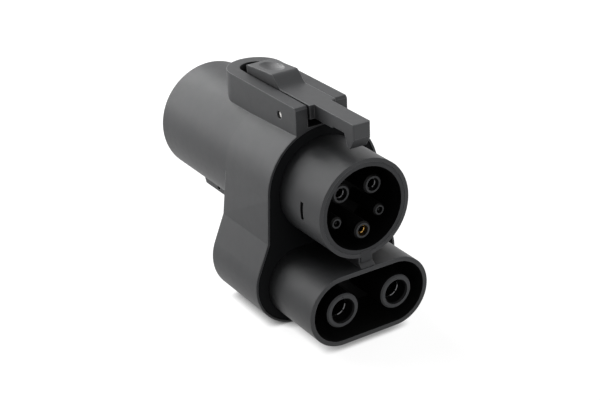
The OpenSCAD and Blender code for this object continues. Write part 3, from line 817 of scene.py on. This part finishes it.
def dress(node: str, material: bpy.types.Material) -> None:
    """Gives a CAD node its finish.

    Args:
        node: name of the CAD node.
        material: its new material.
    """
    mesh = frame["nodes"][node].data
    mesh.materials.clear()
    mesh.materials.append(material)
    log.info("finish %s on %s", material.name, node)


# The adapter


class Plating(Enum):
    """Plating of a contact, as the record's slot that it belongs to."""

    SILVER = "silver_contact"
    GOLD = "gold_contact"


class Finishes:
    """Every finish of the adapter, built once."""

    def __init__(self) -> None:
        """Builds the materials."""
        # Glass-filled nylon from a spark-eroded mould: a broad sheen, edges painted pale as highlight and
        # rubbing, and painted shade in its corners
        self.housing = MouldedPlastic("housing_plastic", "#444547", 0.52, edge_mm=0.55, edge_light=0.9,
                                      specular=0.45).build()
        # The same nylon from a finer mould: darker, with a smoother face and tighter edges
        self.nose = NosePlastic("nose_plastic", "#414244", 0.48, grain_deep=0.08, edge_mm=0.35,
                                edge_light=0.8, specular=0.38, shade_mm=38.0).build()
        # Moulded polyester: matte grey ring faces round hollows painted black as shade
        self.carrier = CarrierPlastic("carrier_plastic", "#5d5e60", 0.5, grain_deep=0.08, edge_mm=0.2,
                                      specular=0.15).build()
        # The same polyester, paler, grey also on slanted faces, with black shade painted into its hollows
        self.dc_carrier = CarrierPlastic("dc_carrier_plastic", "#6a6b6d", 0.5, grain_deep=0.08,
                                         edge_mm=0.2, specular=0.15, straight=0.68).build()
        # Moulded nylon that thumbs keep smooth: the brightest sheen of the outer plastics
        self.lever = MouldedPlastic("lever_plastic", "#48494b", 0.46, edge_mm=0.55,
                                    edge_light=0.9).build()
        # Moulded black polyester that no hand touches: even, dull and with sharp edges
        self.inner = MouldedPlastic("inner_plastic", "#1f2022", 0.55, edge_mm=0.2,
                                    edge_light=0.1).build()
        # Moulded epoxy round a sensor: near black, with the gloss of a cast resin
        self.sensor = MouldedPlastic("sensor_plastic", "#1a1b1d", 0.4, edge_mm=0.1).build()
        # Moulded rubber: dull black
        self.seal = Elastomer("seal_rubber").build()
        # Copper alloy, turned and silver-plated: a near white reflection
        self.silver = TurnedMetal("silver_contact", "#d9d8d4", 0.3).build()
        # The same plating, polished by plugs, its colour darkened as painted shade of the deep sockets:
        # dark grey with small hard glints
        self.silver_darkened_as_shade = TurnedMetal("shade_darkened_silver_contact", "#6f6f71", 0.16).build()
        # Copper alloy, turned and gold-plated: a warm mirror
        self.gold = TurnedMetal("gold_contact", "#ffc870", 0.14).build()
        # Rolled copper strip, bare: a broad reddish reflection
        self.copper = TurnedMetal("busbar_copper", "#c98a63", 0.35).build()
        # Stainless steel, ground: a bright dot at the pin's end
        self.pin = TurnedMetal("pin_steel", "#e6e4e0", 0.22).build()
        # Steel, cold-headed and zinc-plated: a bluish grey sheen
        self.screw = TurnedMetal("screw_steel", "#b9bbbe", 0.32).build()
        # Spring steel, drawn as wire: fine marks and a soft grey glint on each coil
        self.spring = TurnedMetal("spring_steel", "#bfc1c4", 0.3, mark_mm=0.08).build()
        # Pressed glass-epoxy under cured solder mask: green with a satin face
        self.board = BoardLaminate("board_laminate").build()


@dataclass(frozen=True)
class SpringSocket:
    """Turned contact socket whose mouth is slit into sprung fingers.

    Attributes:
        node: CAD node that it stands for.
        bore: mount of its hole.
        wall: wall of the tube, in millimetres.
        fingers: number of fingers.
        slit: width of a slit.
        slit_len: length of the slits.
        collar_len: length of the collar that the retainer holds.
        tail_r: radius of the tail, or 0 for the tube's own.
        plating: its plating.
    """

    node: str
    bore: str
    wall: float
    fingers: int
    slit: float
    slit_len: float
    collar_len: float = 1.2
    tail_r: float = 0.0
    plating: Plating = Plating.SILVER

    # The collar's back in the CAD drawing and how far it stands out, in millimetres
    COLLAR_BACK = 37.9
    COLLAR_WIDTH = 0.9
    # Chamfer that leads the pin in
    LEAD_IN = 0.25
    # Angle of the first slit, in degrees
    FIRST_SLIT = 45.0
    # Steps of all the fingers together, and the fewest for one
    ROUND_STEPS = 48
    FINGER_STEPS = 6

    def build(self, material: bpy.types.Material) -> bpy.types.Object:
        """Builds the socket and puts it in place of its node.

        Args:
            material: its plating.

        Returns:
            The new piece.
        """
        middle, hole, length = mount(self.bore)
        front, end = middle.y - length / 2, middle.y + length / 2
        back = corners_mm(self.node)[1].y
        outer, root = hole + self.wall, front + self.slit_len
        collar = self.COLLAR_BACK + STAND_Y
        collar_r, collar_front = outer + self.COLLAR_WIDTH, collar - self.collar_len
        tail = self.tail_r or outer
        # The drill leaves a cone at the end of the hole, half as deep as the hole's radius
        cone = end + hole / 2
        shape = bmesh.new()
        lathe(shape, [(hole, root), (hole, end), (0.0, cone), (0.0, back), (tail, back), (tail, collar),
                      (collar_r, collar), (collar_r, collar_front), (outer, collar_front),
                      (outer, root)], middle)
        gap = math.degrees(self.slit / outer)
        part = FULL_TURN / self.fingers
        finger = [(hole + self.LEAD_IN, front), (outer, front), (outer, root), (hole, root),
                  (hole, front + self.LEAD_IN)]
        for i in range(self.fingers):
            lathe(shape, finger, middle, self.FIRST_SLIT + i * part + gap / 2, part - gap,
                  max(self.FINGER_STEPS, self.ROUND_STEPS // self.fingers))
        piece = link_mesh(self.node + "_slit", shape, material)
        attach(piece, "adapter")
        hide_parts(self.node)
        return piece


@dataclass(frozen=True)
class Markings:
    """Plus and minus inlaid in black at the top of the DC contact rings, flush but for a hair.

    Attributes:
        size: width and height of a mark, in millimetres.
        stroke: width of its strokes.
        thick: depth of the inlay.
        proud: how far it stands out.
        edge: radius of its edges.
        ring_mid: height of the ring's middle above the contact's axis.
        face_y: depth of the rings' faces in the CAD drawing.
    """

    size: float = 1.1
    stroke: float = 0.34
    thick: float = 0.1
    proud: float = 0.015
    edge: float = 0.02
    ring_mid: float = 6.4
    face_y: float = -2.4

    def build(self, material: bpy.types.Material) -> bpy.types.Object:
        """Builds both marks as one piece.

        Args:
            material: their black plastic.

        Returns:
            The new piece.
        """
        shape = bmesh.new()
        for name, upright in (("dc_bore_positive", True), ("dc_bore_negative", False)):
            middle, _, _ = mount(name)
            depth = self.face_y + STAND_Y - self.proud + self.thick / 2
            place = Matrix.Translation((middle.x, depth, middle.z + self.ring_mid))
            rounded(self.size, self.thick, self.stroke, self.edge, place, shape)
            if upright:
                rounded(self.stroke, self.thick, self.size, self.edge, place, shape)
        piece = link_mesh("polarity_marks", shape, material, smooth=False)
        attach(piece, "adapter")
        return piece


@dataclass(frozen=True)
class SocketScrews:
    """Two pan-head screws with a hexagon socket that hold the rear inlet.

    Attributes:
        head_r: radius of the head, in millimetres.
        head_t: height of the head.
        crown: its rounded edge, as steps in from its radius and down from its top.
        shank_r: radius of the shank.
        tip_in: how much narrower the shank's tip is.
        tip_len: length of that taper.
        sunk: how far the shank reaches into the head.
        key_half: half the width of the hexagon.
        key_deep: depth of the hexagon.
        sides: sides of the head.
    """

    head_r: float = 2.6
    head_t: float = 1.8
    crown: tuple[tuple[float, float], ...] = ((0.0, 0.6), (0.25, 0.15), (0.7, 0.0))
    shank_r: float = 1.2
    tip_in: float = 0.3
    tip_len: float = 0.6
    sunk: float = 0.2
    key_half: float = 1.25
    key_deep: float = 1.1
    sides: int = 48

    def build(self, material: bpy.types.Material) -> bpy.types.Object:
        """Builds the screws and puts them in place of their node.

        Args:
            material: the screws' steel.

        Returns:
            The new piece.
        """
        low, high = corners_mm("rear_screws")
        centre_z = (low.z + high.z) / 2
        reach = (high.z - low.z) / 2 - self.head_r
        top, seat = high.y, high.y - self.head_t
        crown = [(self.head_r, seat)] + [(self.head_r - inward, top - down) for inward, down in self.crown]
        shank = [(0.0, low.y), (self.shank_r - self.tip_in, low.y), (self.shank_r, low.y + self.tip_len),
                 (self.shank_r, seat + self.sunk), (0.0, seat + self.sunk)]
        shape = bmesh.new()
        for side in (-1, 1):
            axis = Vector((0.0, 0.0, centre_z + side * reach))
            rings = [self.ring(shape, axis, y, lambda angle, r=r: r) for r, y in crown]
            rings += [self.ring(shape, axis, y, self.hexagon) for y in (top, top - self.key_deep)]
            for a, b in zip(rings, rings[1:]):
                bmesh.ops.bridge_loops(shape, edges=a + b)
            bmesh.ops.edgeloop_fill(shape, edges=rings[0])
            bmesh.ops.edgeloop_fill(shape, edges=rings[-1])
            lathe(shape, shank, axis)
        piece = link_mesh("rear_socket_screws", shape, material)
        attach(piece, "adapter")
        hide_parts("rear_screws")
        return piece

    def hexagon(self, angle: float) -> float:
        """Finds the radius of the hexagon, in millimetres, at an angle in radians."""
        sixth = math.radians(60)
        return self.key_half / math.cos((angle % sixth) - sixth / 2)

    def ring(self, shape: bmesh.types.BMesh, axis: Vector, depth: float,
             radius: Callable[[float], float]) -> list[bmesh.types.BMEdge]:
        """Adds one ring of a screw head.

        Args:
            shape: bmesh that gets it.
            axis: point on the screw's axis, in millimetres.
            depth: its Y.
            radius: function from angle to radius.

        Returns:
            The ring's edges.
        """
        made = bmesh.ops.create_circle(shape, segments=self.sides, radius=1.0)["verts"]
        for vert in made:
            angle = math.atan2(vert.co.y, vert.co.x) % (2 * math.pi)
            r = radius(angle)
            vert.co = (axis.x + r * math.cos(angle), depth, axis.z + r * math.sin(angle))
        return [e for e in shape.edges if e.verts[0] in made and e.verts[1] in made]


@dataclass(frozen=True)
class TipCaps:
    """Touch-safe caps of plastic on the tips of the rear power pins.

    Attributes:
        radius: radius of a cap, in millimetres.
        sunk: how far it reaches over the pin's end.
        base: height of its straight part above the end.
        height: its height above the end.
        dome_steps: steps of its dome.
        steps: steps round it.
    """

    radius: float = 2.3
    sunk: float = 0.3
    base: float = 0.4
    height: float = 1.5
    dome_steps: int = 6
    steps: int = 40

    def build(self, material: bpy.types.Material) -> bpy.types.Object:
        """Builds both caps as one piece.

        Args:
            material: their plastic.

        Returns:
            The new piece.
        """
        quarter = [math.radians(90 * i / self.dome_steps) for i in range(self.dome_steps + 1)]
        shape = bmesh.new()
        for name in ("rear_power_pin_positive", "rear_power_pin_negative"):
            low, high = corners_mm(name)
            dome = [(self.radius * math.cos(a),
                     high.y + self.base + (self.height - self.base) * math.sin(a)) for a in quarter]
            foot = [(0.0, high.y - self.sunk), (self.radius, high.y - self.sunk)]
            lathe(shape, foot + dome, (low + high) / 2, steps=self.steps)
        piece = link_mesh("pin_tip_caps", shape, material)
        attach(piece, "adapter")
        return piece


@dataclass(frozen=True)
class ReturnSpring:
    """Compression spring under the thumb pad, with closed end coils.

    Attributes:
        coil_r: radius of the coils, in millimetres.
        wire_r: radius of the wire.
        open_turns: turns with air between them; one closed turn lies at each end.
        closed_rise: rise of a closed turn, in radii of the wire.
        steps: steps of one turn.
        sides: sides of the wire.
        keep: share of its height that is left when the pad is pressed down; not used.
    """

    coil_r: float = 2.0
    wire_r: float = 0.4
    open_turns: int = 4
    closed_rise: float = 2.1
    steps: int = 28
    sides: int = 10
    keep: float = 0.62

    def build(self, material: bpy.types.Material) -> bpy.types.Object:
        """Builds the spring and puts it in place of its node.

        Args:
            material: the spring's steel.

        Returns:
            The new piece.
        """
        low, high = corners_mm("latch_spring")
        axis = (low + high) / 2
        closed = self.closed_rise * self.wire_r
        pitch = (high.z - low.z - 2 * self.wire_r - 2 * closed) / self.open_turns
        # The wire's section stands upright, out from the axis along X
        upright = Matrix.Rotation(math.radians(90), 4, "X") @ Matrix.Rotation(math.radians(-90), 4, "Z")
        place = Matrix.Translation((axis.x + self.coil_r, axis.y, low.z + self.wire_r)) @ upright
        shape = bmesh.new()
        section = bmesh.ops.create_circle(shape, segments=self.sides, radius=self.wire_r, matrix=place)
        geom = section["verts"] + shape.edges[:]
        for turns, rise in ((1, closed), (self.open_turns, pitch), (1, closed)):
            geom = bmesh.ops.spin(shape, geom=geom, cent=axis, axis=(0.0, 0.0, 1.0),
                                  dvec=(0.0, 0.0, rise / self.steps), angle=2 * math.pi * turns,
                                  steps=turns * self.steps, use_duplicate=False)["geom_last"]
        close(shape)
        piece = link_mesh("return_spring", shape, material)
        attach(piece, "adapter")
        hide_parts("latch_spring")
        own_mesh(piece)
        return piece


@dataclass(frozen=True)
class Adapter:
    """The whole adapter: the finish of each CAD node and the pieces that are too fine for the solids.

    Attributes:
        finishes: the built materials.
    """

    finishes: Finishes

    SOCKETS = (
        SpringSocket("ac_line_socket_left", "line_bore_left", wall=0.9, fingers=4, slit=0.5,
                     slit_len=8.0),
        SpringSocket("ac_line_socket_right", "line_bore_right", wall=0.9, fingers=4, slit=0.5,
                     slit_len=8.0),
        SpringSocket("earth_socket", "earth_bore", wall=0.9, fingers=4, slit=0.45, slit_len=8.0,
                     plating=Plating.GOLD),
        SpringSocket("pilot_socket", "pilot_bore", wall=0.55, fingers=2, slit=0.35, slit_len=6.0),
        SpringSocket("proximity_socket", "proximity_bore", wall=0.55, fingers=2, slit=0.35,
                     slit_len=6.0),
        SpringSocket("dc_socket_positive", "dc_bore_positive", wall=1.1, fingers=8, slit=0.6,
                     slit_len=12.0, collar_len=2.0, tail_r=3.5),
        SpringSocket("dc_socket_negative", "dc_bore_negative", wall=1.1, fingers=8, slit=0.6,
                     slit_len=12.0, collar_len=2.0, tail_r=3.5),
    )

    def dress(self) -> None:
        """Gives every CAD node its finish."""
        f = self.finishes
        plan = {
            "rear_housing": f.housing, "nose_moulding": f.nose, "face_seal": f.seal,
            "front_gasket": f.seal, "ac_contact_carrier": f.carrier,
            "dc_contact_carrier": f.dc_carrier, "contact_retainer": f.inner,
            "retainer_screws": f.screw, "ac_line_socket_left": f.silver,
            "ac_line_socket_right": f.silver, "earth_socket": f.gold, "pilot_socket": f.silver,
            "proximity_socket": f.silver, "dc_socket_positive": f.silver,
            "dc_socket_negative": f.silver, "latch_lever": f.lever, "hinge_pin": f.pin,
            "latch_spring": f.spring, "rear_inlet": f.inner, "rear_seal_ring": f.seal,
            "rear_screws": f.screw, "rear_power_pin_positive": f.silver,
            "rear_power_pin_negative": f.silver, "rear_earth_pin": f.silver,
            "rear_pilot_pin": f.silver, "rear_proximity_pin": f.silver,
            "busbar_positive": f.copper, "busbar_negative": f.copper, "earth_link": f.copper,
            "circuit_board": f.board, "temperature_sensor_positive": f.sensor,
            "temperature_sensor_negative": f.sensor,
        }
        for node, material in plan.items():
            dress(node, material)

    def fit(self) -> None:
        """Adds the fine pieces."""
        f = self.finishes
        metals = {Plating.SILVER: f.silver_darkened_as_shade, Plating.GOLD: f.gold}
        for socket in self.SOCKETS:
            socket.build(metals[socket.plating])
        Markings().build(f.inner)
        SocketScrews().build(f.screw)
        TipCaps().build(f.inner)
        ReturnSpring().build(f.spring)


def main() -> None:
    """Builds the camera, the studio and the adapter's looks."""
    View(azimuth=-31.209, elevation=25.752, roll=-2.568, distance_mm=613.716, focal_px=1379.682,
         target_mm=(3.539, -6.5184, 42.2442)).build()
    Studio().build()
    adapter = Adapter(Finishes())
    adapter.dress()
    adapter.fit()


if __name__ == "__main__":
    main()
